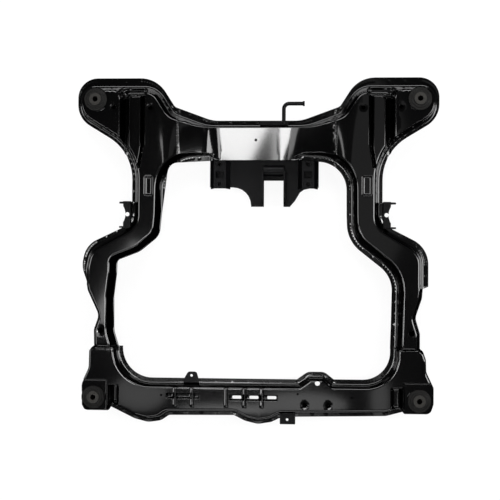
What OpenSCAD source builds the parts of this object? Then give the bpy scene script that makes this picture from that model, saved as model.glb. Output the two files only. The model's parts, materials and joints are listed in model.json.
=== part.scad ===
/* [Levels] */
// Height of the weld plane between the upper and lower pressings
flange_z = 52; // [44:1:60]
// Height of the flat tops of the rails and rear arms
top_z = 98; // [90:1:110]
// Height of the top of the front crossmember and corners
front_top_z = 93; // [88:1:98]
// Height of the rear bush lands
rear_land_z = 86; // [80:1:88]
// Height of the recessed front bush plates
front_land_z = 70; // [66:1:76]
// Height of the flat bottom of the lower pressings
bottom_z = 18; // [14:1:26]

/* [Sheet] */
// Thickness of the pressed sheet
sheet = 2.6; // [2:0.1:3.5]
// Width of the bevel along the long edges of the pressings
edge_r = 6; // [3:0.5:8]
// Radius of the drain and locating holes
small_hole_r = 5.5; // [3:0.5:7]

/* [Body mounts] */
// Distance of the rear bushes from the centre line
rear_bush_x = 418; // [410:1:424]
// Distance of the rear bushes behind the middle of the frame
rear_bush_y = 388; // [382:1:394]
// Distance of the front bushes from the centre line
front_bush_x = 420; // [414:1:426]
// Distance of the front bushes ahead of the middle of the frame
front_bush_y = -384; // [-390:1:-378]
// Outer radius of the collars that carry the bushes
collar_r = 31.5; // [29:0.5:34]
// Wall of the collars
collar_wall = 2.5; // [1.5:0.5:4]
// Wall of the outer shells of the bushes
shell_wall = 2; // [1:0.5:3]
// Outer radius of the drilled inner sleeves
sleeve_r = 11.5; // [10:0.5:14]
// Radius of the body bolt holes
body_bolt_r = 7; // [5:0.5:8.5]
// Radius of the flared heads of the inner sleeves
sleeve_head_r = 15.5; // [14.5:0.5:20]
// Thickness of the rubber lips above and below each collar
lip_h = 5; // [3:0.5:7]
// Height of the sleeve ends above and below the rubber lips
sleeve_stand = 3; // [2:0.5:5]

/* [Rear centre panel] */
// Distance of the weld seams of the centre panel from the centre line
seam_x = 203; // [196:1:208]
// Front edge of the rear crossmember at the centre line
panel_front_y = 236; // [230:1:240]
// Rear edge of the sloping face of the centre panel
panel_crest_y = 316; // [306:1:320]
// Height of the sloping face at its front edge
panel_front_z = 57.5; // [56:0.5:62]
// Height of the sloping face at its rear edge
panel_rear_z = 72; // [66:1:80]
// Run of the ramp from the panel up to the left arm
left_ramp = 120; // [100:1:130]
// Run of the ramp from the panel up to the right arm
right_ramp = 140; // [110:1:150]
// Left end of the sloping panel
panel_left_x = -103; // [-110:1:-95]
// Right end of the sloping panel
panel_right_x = 84; // [75:1:90]

/* [Rails] */
// Outer edge of the box section at the waist of the rails
waist_x = 314; // [310:1:318]
// Outer edge of the box section at the bulge of the right rail
bulge_x = 428; // [424:1:434]
// How much further out the left rail bulges than the right one
left_bulge = 12; // [0:1:15]
// Rear edge of the front corner pressings
rail_end_y = -252; // [-256:1:-248]

/* [Lower-arm brackets] */
// Middle of each bracket along the rail
arm_mid_y = 91; // [88:1:94]
// Clear width between the walls of each bracket
arm_gap = 60; // [54:1:64]
// Reach of the bracket walls past the back
arm_reach = 35; // [30:1:40]
// Height of the pivot bolt
arm_pivot_z = 42; // [38:1:46]
// Distance of the pivot bolt from the back of the bracket
arm_pivot_out = 19; // [16:1:22]
// Middle of the lower-arm brackets to the seam of the lower pressings behind them
waist_seam_back = 137; // [130:1:144]
// Radius of the pivot bolt holes
arm_bolt_r = 6.5; // [5:0.5:8]

/* [Roll stopper] */
// Inner face of the left cheek
roll_left_x = 18; // [14:1:20]
// Clear width between the cheeks
roll_gap = 52; // [46:1:56]
// Front ends of the cheeks
roll_front_y = 115; // [110:1:120]
// Distance of the roll-stopper bolt behind the front ends
roll_bolt_back = 22; // [18:1:28]
// Height of the roll-stopper bolt
roll_bolt_z = 44; // [40:1:48]
// Radius of the roll-stopper bolt holes
roll_bolt_r = 6.5; // [5:0.5:8]
// Height of the tops of the cheeks
roll_top_z = 62; // [58:1:66]
// Thickness of the roll-stopper plates
roll_plate = 4; // [3:0.5:5]

/* [Steering mounts] */
// Middle of the left steering mount
steer_left_x = -97; // [-101:1:-93]
// Distance between the steering mounts
steer_spacing_x = 231; // [227:1:235]
// Distance between the two bolts of each steering mount
steer_spacing_y = 52; // [46:1:56]
// Front bolt of each steering mount
steer_front_y = 172; // [168:1:176]
// Height of the steering mounts
steer_top_z = 46; // [42:1:50]
// Radius of the steering bolt holes
steer_bolt_r = 5.5; // [4:0.5:6.5]

/* [Small parts] */
// Radius of the exhaust hanger rod
rod_r = 5; // [4:0.5:6]
// Reach of the hanger rod behind its plate
rod_reach = 54; // [48:1:62]
// Length of the bent end of the hanger rod
rod_arm = 49; // [42:1:56]
// Width of the front tabs
tab_w = 38; // [30:1:44]

/* [Hidden] */

paint = [0.05, 0.05, 0.055];
rubber = [0.22, 0.2, 0.19];
bare = [0.45, 0.44, 0.43];
eps = 0.01;
far = 600;
fit = 0.3;
round_step = 24;
fn_round = 48;
fn_mesh = 10;
fn_hole = 24;

// Edges of the pressings: flange width, draft of the wall and wall thickness
bare_edge = [2, 8, sheet];
rail_flange = [14, 9, sheet];
bulge_flange = [16, 9, sheet];
arm_flange = [10, 8, sheet];
rear_flange = [23, 18, sheet];
neck_flange = [12, 14, sheet];
centre_flange = [15, 6, sheet];
cross_flange = [13.5, 6, sheet];
plate_edge = [1.5, 2, sheet];
open_end = [0, 0, -2];

// Plane geometry of outlines

function unit(v) = v / norm(v);
function left_of(v) = [-v[1], v[0]];
function cross2(a, b) = a[0] * b[1] - a[1] * b[0];
function xy(p) = [p[0], p[1]];
function next_i(c, i) = (i + 1) % len(c);
function prev_i(c, i) = (i + len(c) - 1) % len(c);
function edge_dir(c, i) = unit(xy(c[next_i(c, i)]) - xy(c[i]));
function turn_at(c, i) =
    let (a = edge_dir(c, prev_i(c, i)), b = edge_dir(c, i))
    atan2(cross2(a, b), a * b);

// Corner i of outline c after each edge k moves inwards by d[k]
function moved_corner(c, d, i) =
    let (
        j = prev_i(c, i),
        a = edge_dir(c, j),
        b = edge_dir(c, i),
        turn = cross2(a, b),
        p = xy(c[i]),
        pa = p + d[j] * left_of(a),
        pb = p + d[i] * left_of(b)
    )
    abs(turn) < 0.05 ? pb : pa + a * cross2(pb - pa, b) / turn;

function moved(c, d) = [
    for (i = [0 : len(c) - 1])
        let (
            q = moved_corner(c, d, i),
            mean = (d[i] + d[prev_i(c, i)]) / 2,
            grown = c[i][2] - sign(turn_at(c, i)) * mean
        )
        [q[0], q[1], c[i][2] == 0 ? 0 : max(grown, 0.6)]
];

// Length of an edge that the arc at corner i may take: half, or nearly all if corner j is sharp
function arc_room(c, i, j) = norm(xy(c[i]) - xy(c[j])) * (c[j][2] == 0 ? 0.95 : 0.49);

// Points of one rounded corner: an arc from tangent point to tangent point
function corner_points(c, i, steps) =
    let (
        p = xy(c[i]),
        a = edge_dir(c, prev_i(c, i)),
        b = edge_dir(c, i),
        turn = turn_at(c, i),
        room = min(arc_room(c, i, prev_i(c, i)), arc_room(c, i, next_i(c, i))),
        reach = min(c[i][2] * tan(abs(turn) / 2), room),
        r = reach / max(tan(abs(turn) / 2), eps),
        centre = p - a * reach + left_of(a) * r * sign(turn)
    )
    steps == 0 ? [p] : [
        for (k = [0 : steps])
            let (angle = turn * k / steps, s = sign(turn))
            centre - s * r * (cos(angle) * left_of(a) - sin(angle) * a)
    ];

function corner_steps(c, i) =
    c[i][2] == 0 ? 0 : max(1, ceil(abs(turn_at(c, i)) / round_step));

// Outline c with each edge moved inwards by d and its corners rounded
function loop(c, d) =
    let (m = moved(c, d))
    [for (i = [0 : len(c) - 1]) each corner_points(m, i, corner_steps(c, i))];

function edge_sum(c, f, w, t, extra) = [
    for (p = c)
        let (e = p[3])
        e[2] < 0 ? (t > 0 ? e[2] : 0) : f * e[0] + w * e[1] + t * e[2] + extra
];

function mirrored_half(h, last) = [
    for (j = [len(h) - 1 : -1 : 0])
        [-h[j][0], h[j][1], h[j][2], j > 0 ? h[j - 1][3] : last]
];

// Foot lines of the pressings, as [x, y, corner radius, edge that follows]

// Reach of the rear arms and of the front bush plates from the bush centres
arm_r = collar_r + 11.5;
plate_r = collar_r + 2.5;

function rear_half(rail) = concat(
    [
        [panel_right_x + 4, panel_front_y, 12, centre_flange - [1, 0, 0]],
        [panel_right_x + 28, panel_front_y + 11, 30, rail_flange],
        [150, 245, 0, rail_flange],
        [247, 240, 88, rail_flange]
    ],
    rail,
    [
        [waist_x, 64, 40, neck_flange - [0, 5, 0]],
        [waist_x, 260, 140, arm_flange],
        [rear_bush_x + arm_r, rear_bush_y - arm_r + 4, 55, arm_flange],
        [rear_bush_x + arm_r, rear_bush_y + arm_r - 5, 36, rear_flange],
        [263, rear_bush_y + arm_r - 5, 60, neck_flange],
        [217, 354, 34, centre_flange + [4, 8, 0]],
        [130, 322, 110, centre_flange]
    ]
);

right_rail = [
    [248, 92, 0, rail_flange],
    [250, 32, 76, rail_flange],
    [366, -60, 90, rail_flange],
    [363, -190, 80, rail_flange],
    [361, rail_end_y, 0, open_end],
    [421, rail_end_y, 0, bare_edge],
    [421, -212, 22, bare_edge],
    [409, -172, 30, bare_edge],
    [bulge_x - 2, -122, 25, bare_edge],
    [bulge_x, -98, 0, bare_edge],
    [bulge_x, -92, 0, bulge_flange],
    [bulge_x, -4, 55, bulge_flange]
];

left_out = bulge_x + left_bulge;
left_rail = [
    [249, 100, 0, bare_edge],
    [250, 92, 0, bare_edge],
    [255, 38, 40, bare_edge],
    [306, -4, 60, bare_edge],
    [366, -27, 14, bare_edge],
    [367, -62, 30, bare_edge],
    [374, -122, 60, bare_edge],
    [373, -212, 60, bare_edge],
    [361, rail_end_y, 0, open_end],
    [421, rail_end_y, 0, bare_edge],
    [422, -210, 22, bare_edge],
    [409, -172, 30, bare_edge],
    [left_out - 1, -108, 24, bare_edge],
    [left_out + 2, -92, 0, bare_edge],
    [left_out + 2, -84, 0, bulge_flange],
    [left_out + 2, -46, 50, bulge_flange],
    [left_out - 8, -1, 75, bulge_flange]
];

front_edge = [2, 2, sheet];
side_outline = concat(
    rear_half(right_rail),
    mirrored_half(rear_half(left_rail), front_edge)
);

corner_left_x = plate_r - front_bush_x;
corner_right_x = front_bush_x - plate_r - 4;
front_outline = [
    [-372, -398, 8, cross_flange],
    [-310, -428, 30, cross_flange],
    [-278, -436, 25, cross_flange],
    [-250, -432, 20, cross_flange],
    [-228, -417, 25, cross_flange],
    [-52, -415, 25, cross_flange],
    [-22, -430, 25, cross_flange],
    [8, -437, 25, cross_flange],
    [38, -432, 20, cross_flange],
    [66, -418, 25, cross_flange],
    [335, -412, 20, cross_flange],
    [372, -402, 8, plate_edge],
    [corner_right_x + 2, front_bush_y - plate_r, 4, plate_edge],
    [front_bush_x + plate_r - 5, front_bush_y - plate_r, 14, plate_edge],
    [front_bush_x + plate_r + 3, front_bush_y - 10, 20, plate_edge],
    [front_bush_x + plate_r + 3, front_bush_y + plate_r - 2, 15, plate_edge],
    [438, -312, 30, plate_edge],
    [437, -280, 20, plate_edge],
    [430, rail_end_y - 8, 10, plate_edge],
    [421, rail_end_y, 0, open_end],
    [361, rail_end_y, 0, cross_flange],
    [360, -347, 88, cross_flange],
    [198, -347, 15, cross_flange],
    [174, -328, 12, cross_flange],
    [140, -328, 12, cross_flange],
    [112, -348, 15, cross_flange],
    [-360, -348, 92, cross_flange],
    [-361, rail_end_y, 0, open_end],
    [-421, rail_end_y, 0, plate_edge],
    [-431, rail_end_y - 8, 8, plate_edge],
    [-432, -306, 30, plate_edge],
    [-front_bush_x - plate_r + 1, front_bush_y + plate_r - 2, 20, plate_edge],
    [-front_bush_x - plate_r + 2, front_bush_y - plate_r + 13, 15, plate_edge],
    [-front_bush_x - plate_r + 10, front_bush_y - plate_r - 1, 10, plate_edge],
    [corner_left_x + 2, front_bush_y - plate_r - 1, 4, plate_edge]
];

// Solids between stacked outlines with equal numbers of points

module stack(loops, heights) {
    block_of([for (k = [0 : len(loops) - 1]) [for (p = loops[k]) [p[0], p[1], heights[k]]]]);
}

module block(low, high) {
    block_of([low, high]);
}

module block_of(loops) {
    n = len(loops[0]);
    last = len(loops) - 1;
    points = [for (ring = loops) each ring];
    sides = [
        for (k = [0 : last - 1])
            for (i = [0 : n - 1])
                let (j = (i + 1) % n, a = k * n, b = (k + 1) * n)
                each [[a + i, b + i, a + j], [a + j, b + i, b + j]]
    ];
    bottom = [for (i = [0 : n - 1]) i];
    top = [for (i = [n - 1 : -1 : 0]) last * n + i];
    polyhedron(points, concat([bottom, top], sides), convexity = 10);
}

// Box body over a foot line: a straight skirt, walls with draft, then a bevelled edge to a level face
module body(c, z0, z1, t, skirt) {
    s = sign(z1 - z0);
    foot = edge_sum(c, 0, 0, t, 0);
    insets = [foot, foot, edge_sum(c, 0, 1, t, 0), edge_sum(c, 0, 1, t, edge_r)];
    z = [z0 - s * skirt, z0, z1 - s * edge_r, z1];
    up = skirt > 0 ? [0, 1, 2, 3] : [1, 2, 3];
    order = s > 0 ? up : [for (k = [len(up) - 1 : -1 : 0]) up[k]];
    stack([for (k = order) loop(c, insets[k])], [for (k = order) z[k]]);
}

// Pressed hat section; children are the recesses, each grown by $grow for the inside
module pressing(c, z1) {
    s = sign(z1 - flange_z);
    difference() {
        union() {
            translate([0, 0, min(flange_z, flange_z + s * sheet)])
                linear_extrude(sheet)
                    polygon(loop(c, edge_sum(c, -1, 0, 0, 0)));
            difference() {
                body(c, flange_z, z1, 0, 0);
                recesses(0) children();
            }
        }
        difference() {
            body(c, flange_z, z1 - s * sheet, 1, 1);
            recesses(sheet) children();
        }
    }
}

module recesses(grow) {
    $grow = grow;
    children();
}

// Recess pressed along a line, with round ends and sloping sides
module groove(from, to, half_width, z0) {
    h = top_z - z0 + $grow + 2;
    hull()
        for (p = [from, to])
            translate([p[0], p[1], z0 - $grow])
                cylinder(h, half_width - 3 + $grow, half_width + 1 + $grow, $fn = fn_mesh);
}

// Rectangular recess with sloping sides
module tray(low, high, z0) {
    slope = 5;
    stack(
        [rectangle(low, high, $grow), rectangle(low, high, $grow + slope)],
        [z0 - $grow, top_z + 2]
    );
}

function rectangle(low, high, d) = [
    [low[0] - d, low[1] - d],
    [high[0] + d, low[1] - d],
    [high[0] + d, high[1] + d],
    [low[0] - d, high[1] + d]
];

module half_space(x0, x1, y0 = -far, y1 = far) {
    translate([x0, y0, -50])
        cube([x1 - x0, y1 - y0, 250]);
}

module drill(x, y, r) {
    translate([x, y, -1])
        cylinder(150, r, r, $fn = fn_hole);
}

// Recesses of the rear arm on one side

groove_z = flange_z + 8;
land_edge_x = 357;
wide_leg_x = 345;
narrow_leg_x = 294;
band_y = 409;

module arm_recesses() {
    groove([wide_leg_x, 250], [wide_leg_x, band_y], 9, groove_z);
    groove([wide_leg_x, band_y], [narrow_leg_x, band_y], 8.5, groove_z);
    groove([narrow_leg_x, 265], [narrow_leg_x, band_y], 4.5, groove_z + 12);
    tray([land_edge_x, 200], [600, 600], rear_land_z);
    tray([272, 145], [295, 192], top_z - 5);
}

// Sloping face of the centre panel, with a ramp up to the arm on each side
module panel_slope() {
    slope = (panel_rear_z - panel_front_z) / (panel_crest_y - panel_front_y);
    over = 20;
    y0 = panel_front_y - over;
    y1 = panel_crest_y + over;
    z0 = panel_front_z - over * slope - $grow;
    z1 = panel_rear_z + over * slope - $grow;
    x0 = panel_left_x - $grow;
    x1 = panel_right_x + $grow;
    top = top_z + 2;
    block(
        [[x0, y0, z0], [x1, y0, z0], [x1, y1, z1], [x0, y1, z1]],
        [
            [x0 - left_ramp, y0, top],
            [x1 + right_ramp, y0, top],
            [x1 + right_ramp, y1, top],
            [x0 - left_ramp, y1, top]
        ]
    );
}

module side_pressing() {
    pressing(side_outline, top_z) {
        for (m = [0, 1])
            mirror([m, 0, 0])
                arm_recesses();
        panel_slope();
    }
}

module rear_bush_bores() {
    for (m = [-1, 1])
        drill(m * rear_bush_x, rear_bush_y, collar_r + fit);
}

module side_holes() {
    rear_bush_bores();
    for (m = [-1, 1]) {
        drill(m * 371, 368, small_hole_r - 0.5);
        drill(m * 273, 364, small_hole_r);
        drill(m * 398, -210, small_hole_r + 2);
    }
}

module bracket_notch() {
    for (m = [0, 1])
        mirror([m, 0, 0])
            translate([arm_web_x, arm_mid_y - arm_gap / 2 - roll_plate, -1])
                cube([100, arm_gap + 2 * roll_plate, 150]);
}

// Seam between the rear pressings and the rails, at the front walls of the lower-arm brackets
rail_seam_y = arm_mid_y - arm_gap / 2 - roll_plate / 2;

// Seam of the lower pressings where the waist turns out into the rear arms
waist_seam_y = arm_mid_y + waist_seam_back;

module upper_piece(x0, x1, y0 = -far, y1 = far) {
    color(paint)
        difference() {
            intersection() {
                side_pressing();
                half_space(x0, x1, y0, y1);
            }
            side_holes();
            bracket_notch();
        }
}

module left_side_upper() {
    upper_piece(-far, -seam_x, rail_seam_y, far);
}

module right_side_upper() {
    upper_piece(seam_x, far, rail_seam_y, far);
}

module left_rail_upper() {
    upper_piece(-far, -seam_x, -far, rail_seam_y);
}

module right_rail_upper() {
    upper_piece(seam_x, far, -far, rail_seam_y);
}

module rear_panel_upper() {
    upper_piece(-seam_x, seam_x);
}

// Lower pressings close the box sections from below, with drain slots along them

drain_len = 22;
drain_w = 9;
rail_drains = [[285, 170], [285, 120], [396, -50], [392, -130]];
cross_drains = [-280, -200, -120, 100, 250];

// Slot along Y, or along X when turned
module drain(x, y, turned) {
    run = (drain_len - drain_w) / 2;
    hull()
        for (side = [-1, 1])
            translate([x + (turned ? side * run : 0), y + (turned ? 0 : side * run), bottom_z - 1])
                cylinder(edge_r + 1, drain_w / 2, drain_w / 2, $fn = fn_mesh);
}

module rail_drain_slots() {
    for (m = [-1, 1])
        for (p = rail_drains)
            drain(m * p[0], p[1], false);
}

module lower_piece(x0, x1, y0 = -far, y1 = far) {
    color(paint)
        difference() {
            intersection() {
                pressing(side_outline, bottom_z);
                half_space(x0, x1, y0, y1);
            }
            rear_bush_bores();
            rail_drain_slots();
            bracket_notch();
        }
}

module left_side_lower() {
    lower_piece(-far, -seam_x, waist_seam_y, far);
}

module right_side_lower() {
    lower_piece(seam_x, far, waist_seam_y, far);
}

module left_waist_lower() {
    lower_piece(-far, -seam_x, rail_seam_y, waist_seam_y);
}

module right_waist_lower() {
    lower_piece(seam_x, far, rail_seam_y, waist_seam_y);
}

module left_rail_lower() {
    lower_piece(-far, -seam_x, -far, rail_seam_y);
}

module right_rail_lower() {
    lower_piece(seam_x, far, -far, rail_seam_y);
}

module rear_panel_lower() {
    lower_piece(-seam_x, seam_x);
}

// Front crossmember and corners

rib_x = [-203, -158, -71, -24, 20];
rib_half = 4;
rib_h = 3.5;
slot_x = [-46, -2, 44];
slot_y = -378;
slot_len = 25;
slot_w = 9;
peak_hole = [160, -339];
front_plate_y = front_bush_y + plate_r + 10;

// Raised bead across the crossmember
module rib(x, grow) {
    hull()
        for (y = [-362, -402])
            translate([x, y, front_top_z - sheet - 1])
                cylinder(sheet + 1 + rib_h - grow, rib_half + 3 - grow, rib_half - grow, $fn = fn_mesh);
}

module front_recesses() {
    tray([-226, -380], [-145, -368], front_top_z - 9);
    tray([-600, -600], [corner_left_x, front_plate_y], front_land_z);
    tray([corner_right_x, -600], [600, front_plate_y], front_land_z);
}

module front_pressing() {
    difference() {
        union() {
            pressing(front_outline, front_top_z)
                front_recesses();
            for (x = rib_x)
                rib(x, 0);
        }
        for (x = rib_x)
            translate([0, 0, -eps])
                rib(x, sheet * 0.8);
    }
}

module front_bush_holes() {
    for (m = [-1, 1])
        drill(m * front_bush_x, front_bush_y, collar_r + fit);
}

module front_slots(length, width, back) {
    for (x = slot_x)
        hull()
            for (side = [-1, 1])
                translate([x + side * (length - width) / 2, slot_y - back, -1])
                    cylinder(150, width / 2, width / 2, $fn = fn_mesh);
}

module front_holes() {
    front_bush_holes();
    front_slots(slot_len, slot_w, 0);
    for (x = [128, 188])
        drill(x, -396, small_hole_r + 1);
    drill(peak_hole[0], peak_hole[1], small_hole_r);
}

// The openings of the lower pressing are wider, so that the ones above can be seen through
module front_lower_holes() {
    front_bush_holes();
    front_slots(slot_len + 10, slot_w + 13, 9);
    drill(peak_hole[0], peak_hole[1] - 7, small_hole_r + 6);
}

module front_piece(x0, x1) {
    color(paint)
        difference() {
            intersection() {
                front_pressing();
                half_space(x0, x1);
            }
            front_holes();
        }
}

module front_lower_piece(x0, x1) {
    color(paint)
        difference() {
            intersection() {
                pressing(front_outline, bottom_z);
                half_space(x0, x1);
            }
            front_lower_holes();
            for (x = cross_drains)
                drain(x, slot_y, true);
        }
}

module front_cross_upper() {
    front_piece(corner_left_x, corner_right_x);
}

module left_corner_upper() {
    front_piece(-far, corner_left_x);
}

module right_corner_upper() {
    front_piece(corner_right_x, far);
}

module front_cross_lower() {
    front_lower_piece(corner_left_x, corner_right_x);
}

module left_corner_lower() {
    front_lower_piece(-far, corner_left_x);
}

module right_corner_lower() {
    front_lower_piece(corner_right_x, far);
}

// Body bushes: a collar through the box section, a shell, rubber and a drilled sleeve

collar_low = sleeve_stand + lip_h;
collar_proud = 2;

module ring(z0, z1, r_out, r_in) {
    translate([0, 0, z0])
        difference() {
            cylinder(z1 - z0, r_out, r_out, $fn = fn_round);
            translate([0, 0, -1])
                cylinder(z1 - z0 + 2, r_in, r_in, $fn = fn_round);
        }
}

module collar(land) {
    color(paint)
        ring(collar_low, land + collar_proud, collar_r, collar_r - collar_wall);
}

module bush_shell(land) {
    r = collar_r - collar_wall;
    color(bare)
        ring(collar_low, land + collar_proud, r, r - shell_wall);
}

module bush_rubber(land) {
    high = land + collar_proud;
    r = collar_r - collar_wall - shell_wall;
    lip_r = collar_r - 2;
    waist_r = (r + sleeve_r) / 2;
    color(rubber)
        rotate_extrude($fn = fn_round)
            polygon([
                [sleeve_r, collar_low - lip_h],
                [waist_r, collar_low - lip_h],
                [lip_r, collar_low - 2],
                [lip_r, collar_low],
                [r, collar_low],
                [r, high],
                [lip_r, high],
                [lip_r, high + 2],
                [waist_r, high + lip_h],
                [sleeve_r, high + lip_h]
            ]);
}

module sleeve(land) {
    high = land + collar_proud + lip_h;
    color(bare)
        difference() {
            union() {
                cylinder(high + sleeve_stand, sleeve_r, sleeve_r, $fn = fn_round);
                translate([0, 0, high])
                    cylinder(sleeve_stand, sleeve_head_r, sleeve_head_r, $fn = fn_round);
                cylinder(collar_low - lip_h, sleeve_head_r, sleeve_head_r, $fn = fn_round);
            }
            translate([0, 0, -1])
                cylinder(high + sleeve_stand + 2, body_bolt_r, body_bolt_r, $fn = fn_round);
        }
}

module at_rear(side) {
    translate([side * rear_bush_x, rear_bush_y, 0])
        children();
}

module at_front(side) {
    translate([side * front_bush_x, front_bush_y, 0])
        children();
}

// Lower-arm brackets, drawn on the right side

arm_web_x = waist_x + neck_flange[0] + 1;
arm_wall_z = [14, 74];
arm_front_y = arm_mid_y - arm_gap / 2;

module arm_wall(y) {
    translate([arm_web_x, y, 0])
        rotate([90, 0, 0])
            linear_extrude(roll_plate)
                difference() {
                    union() {
                        translate([0, arm_wall_z[0]])
                            square([arm_pivot_out, arm_wall_z[1] - arm_wall_z[0]]);
                        translate([arm_pivot_out, arm_pivot_z])
                            circle(arm_reach - arm_pivot_out, $fn = fn_round);
                    }
                    translate([arm_pivot_out, arm_pivot_z])
                        circle(arm_bolt_r, $fn = fn_round);
                }
}

// Back plate with a hollowed lip along its top
module arm_back() {
    translate([arm_web_x, arm_front_y, arm_wall_z[0]])
        cube([sheet, arm_gap, arm_wall_z[1] - arm_wall_z[0]]);
    translate([arm_web_x, arm_front_y, arm_wall_z[1] - sheet])
        difference() {
            cube([arm_pivot_out, arm_gap, sheet]);
            translate([8, arm_gap / 2, -1])
                cylinder(sheet + 2, small_hole_r, small_hole_r, $fn = fn_round);
            translate([arm_pivot_out + 34, arm_gap / 2, -1])
                cylinder(sheet + 2, 40, 40, $fn = fn_round);
        }
}

module arm_walls() {
    arm_wall(arm_front_y);
    arm_wall(arm_front_y + arm_gap + roll_plate);
}

module left_arm_back() {
    color(paint)
        mirror([1, 0, 0])
            arm_back();
}

module right_arm_back() {
    color(paint)
        arm_back();
}

module left_arm_walls() {
    color(paint)
        mirror([1, 0, 0])
            arm_walls();
}

module right_arm_walls() {
    color(paint)
        arm_walls();
}

// Roll-stopper bracket under the rear crossmember

roll_seat_y = 292;
roll_right_x = roll_left_x + roll_gap;
roll_bolt_y = roll_front_y + roll_bolt_back;
wing_edge_y = steer_front_y - 6;
wing_left_x = steer_left_x - 28;
wing_right_x = steer_left_x + steer_spacing_x + 28;
roll_base_z = bottom_z - roll_plate;

// Free edges of the base plates from prong to wing: distance from the cheek, and from the wing's edge
left_prong = 34;
left_sweep_r = 48;
left_sweep = [
    for (a = [0 : 15 : 90])
        [left_prong + left_sweep_r * (1 - cos(a)), left_sweep_r * (sin(a) - 1)]
];
right_sweep = [[17, -50], [30, -35], [43, -13], [53, -6], [74, -1]];

module cheek_plate(inner_x, outer_x, sweep) {
    side = sign(outer_x - inner_x);
    edge = [for (p = sweep) [inner_x + side * p[0], wing_edge_y + p[1]]];
    translate([0, 0, roll_base_z])
        linear_extrude(roll_plate)
            polygon(concat(
                [[inner_x, roll_front_y], [edge[0][0], roll_front_y]],
                edge,
                [[outer_x, wing_edge_y], [outer_x, roll_seat_y], [inner_x, roll_seat_y]]
            ));
}

// Upright cheek with the roll-stopper bolt hole
module cheek_wall(x) {
    translate([x, 0, 0])
        rotate([90, 0, 90])
            linear_extrude(roll_plate)
                difference() {
                    union() {
                        translate([roll_bolt_y, roll_base_z + roll_plate])
                            square([wing_edge_y + 40 - roll_bolt_y, roll_top_z - bottom_z]);
                        translate([roll_front_y, roll_base_z + roll_plate])
                            square([roll_bolt_back, roll_bolt_z - bottom_z]);
                        translate([roll_bolt_y, roll_bolt_z])
                            circle(roll_top_z - roll_bolt_z, $fn = fn_round);
                    }
                    translate([roll_bolt_y, roll_bolt_z])
                        circle(roll_bolt_r, $fn = fn_round);
                }
}

module roll_left_cheek() {
    color(paint) {
        cheek_plate(roll_left_x, wing_left_x, left_sweep);
        cheek_wall(roll_left_x - roll_plate);
    }
}

module roll_right_cheek() {
    color(paint) {
        cheek_plate(roll_right_x, wing_right_x, right_sweep);
        cheek_wall(roll_right_x);
    }
}

module roll_cross_tube() {
    tube_r = 14;
    color(paint)
        translate([roll_left_x, wing_edge_y + 42, bottom_z + tube_r + 4])
            rotate([0, 90, 0])
                ring(0, roll_gap, tube_r, tube_r - sheet);
}

// Plate between the cheeks that closes the gap behind the roll stopper, with an upturned front edge
module roll_bridge() {
    front = wing_edge_y + 18;
    lip = 10;
    color(paint) {
        translate([roll_left_x, front, roll_base_z])
            cube([roll_gap, roll_seat_y - front, roll_plate]);
        translate([roll_left_x, front, roll_base_z])
            cube([roll_gap, sheet, roll_plate + lip]);
    }
}

// Steering mounts: folded hats that stand on the bracket plates

module steering_mount(x) {
    half = 16;
    spread = 10;
    long = steer_spacing_y + 22;
    color(paint)
        difference() {
            translate([x, steer_front_y + steer_spacing_y / 2 + long / 2, 0])
                rotate([90, 0, 0])
                    linear_extrude(long)
                        polygon([
                            [-half - spread, bottom_z],
                            [-half, steer_top_z],
                            [half, steer_top_z],
                            [half + spread, bottom_z],
                            [half + spread - sheet, bottom_z],
                            [half - sheet, steer_top_z - sheet],
                            [-half + sheet, steer_top_z - sheet],
                            [-half - spread + sheet, bottom_z]
                        ]);
            for (k = [0, 1])
                translate([x, steer_front_y + k * steer_spacing_y, bottom_z])
                    cylinder(steer_top_z, steer_bolt_r, steer_bolt_r, $fn = fn_round);
            translate([x - half + 5, steer_front_y + steer_spacing_y / 2 - 10, steer_top_z - sheet - 1])
                cube([2 * half - 10, 18, sheet + 2]);
        }
}

module left_steering_mount() {
    steering_mount(steer_left_x);
}

module right_steering_mount() {
    steering_mount(steer_left_x + steer_spacing_x);
}

module steering_nuts() {
    h = 9;
    color(bare)
        for (i = [0, 1])
            for (k = [0, 1])
                translate([steer_left_x + i * steer_spacing_x, steer_front_y + k * steer_spacing_y, steer_top_z - sheet - h])
                    difference() {
                        cylinder(h, 9.5, 9.5, $fn = 6);
                        translate([0, 0, -1])
                            cylinder(h + 2, steer_bolt_r, steer_bolt_r, $fn = fn_round);
                    }
}

// Exhaust hanger on the rear flange

plate_h = 4;
rod_x = 70;
rod_y = 331;
rod_z = flange_z + sheet + plate_h + rod_r;
rod_bend = 14;

module hanger_plate() {
    color(paint)
        translate([rod_x - 62, rod_y - 6, flange_z + sheet])
            cube([74, 11, plate_h]);
}

module hanger_rod() {
    head_h = 5;
    color(paint)
        translate([rod_x, rod_y - 5, rod_z]) {
            rotate([-90, 0, 0])
                cylinder(rod_reach - rod_bend, rod_r, rod_r, $fn = fn_round);
            translate([rod_bend, rod_reach - rod_bend, 0])
                rotate([0, 0, 90])
                    rotate_extrude(angle = 90, $fn = fn_round)
                        translate([rod_bend, 0])
                            circle(rod_r, $fn = fn_round);
            translate([rod_bend, rod_reach, 0])
                rotate([0, 90, 0])
                    cylinder(rod_arm - rod_bend, rod_r, rod_r, $fn = fn_round);
            translate([rod_arm, rod_reach, 0])
                rotate([0, 90, 0])
                    cylinder(head_h, rod_r + 1.5, rod_r + 1.5, $fn = fn_round);
        }
}

// Tabs on the flanges of the front crossmember

module tab(x, y, depth, hole_y) {
    color(paint)
        translate([x, y, flange_z + sheet])
            difference() {
                translate([-tab_w / 2, 0, 0])
                    cube([tab_w, depth, sheet]);
                translate([0, hole_y, -1])
                    cylinder(sheet + 2, small_hole_r, small_hole_r, $fn = fn_round);
            }
}

module rear_tab() {
    tab(-167, -345, 28, 18);
}

module front_tab() {
    tab(84, -450, 28, 12);
}

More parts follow.
